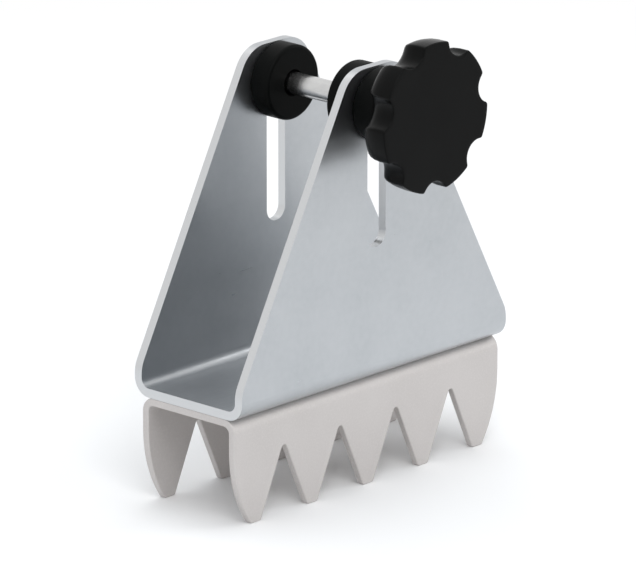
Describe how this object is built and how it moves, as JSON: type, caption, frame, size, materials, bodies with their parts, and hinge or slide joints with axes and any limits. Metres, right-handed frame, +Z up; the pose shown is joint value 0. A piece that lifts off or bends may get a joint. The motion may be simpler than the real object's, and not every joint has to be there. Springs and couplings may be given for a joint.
{
  "type": "ladder foot ground spike clamp",
  "caption": "Tapered sheet-metal U bracket with a toothed ground-spike comb under its floor and a slotted, height-adjustable cross bolt with rubber bumpers and a lobed hand knob.",
  "frame": {"origin": "centre of the bracket floor, on its top face, where the ladder stile's end sits", "axes": "+X along the spike comb and the walls, +Y across the walls away from the knob, +Z up out of the channel"},
  "size_m": [0.125, 0.0764, 0.1516],
  "materials": {
    "bracket_zinc": "satin zinc-plated sheet steel",
    "comb_steel": "matte pale warm-grey sheet steel",
    "bolt_steel": "bright zinc-plated steel",
    "black_rubber": "smooth black rubber",
    "black_plastic": "satin black moulded plastic",
    "insert_brass": "plain turned brass"
  },
  "bodies": {
    "frame": {"bracket": "bracket_zinc", "spike_comb": "comb_steel"},
    "clamp": {"carriage_bolt": "bolt_steel", "far_bumper": "black_rubber", "near_bumper": "black_rubber"},
    "washer": {"outer_washer": "black_rubber"},
    "knob": {"star_knob": "black_plastic", "knob_insert": "insert_brass"}
  },
  "joints": [
    {"name": "bolt_height", "type": "slide", "parent": "frame", "child": "clamp", "axis": [0, 0, 1], "range_m": [-0.04, 0]},
    {"name": "knob_travel", "type": "slide", "parent": "clamp", "child": "washer", "axis": [0, -1, 0], "range_m": [0, 0.005]},
    {"name": "knob_turn", "type": "hinge", "parent": "washer", "child": "knob", "pos_m": [0, -0.035, 0.0887], "axis": [0, -1, 0], "range_deg": [0, 1440]}
  ],
  "couplings": [
    {"joint": "knob_travel", "follows": "knob_turn", "m_per_rad": 0.00019894}
  ]
}
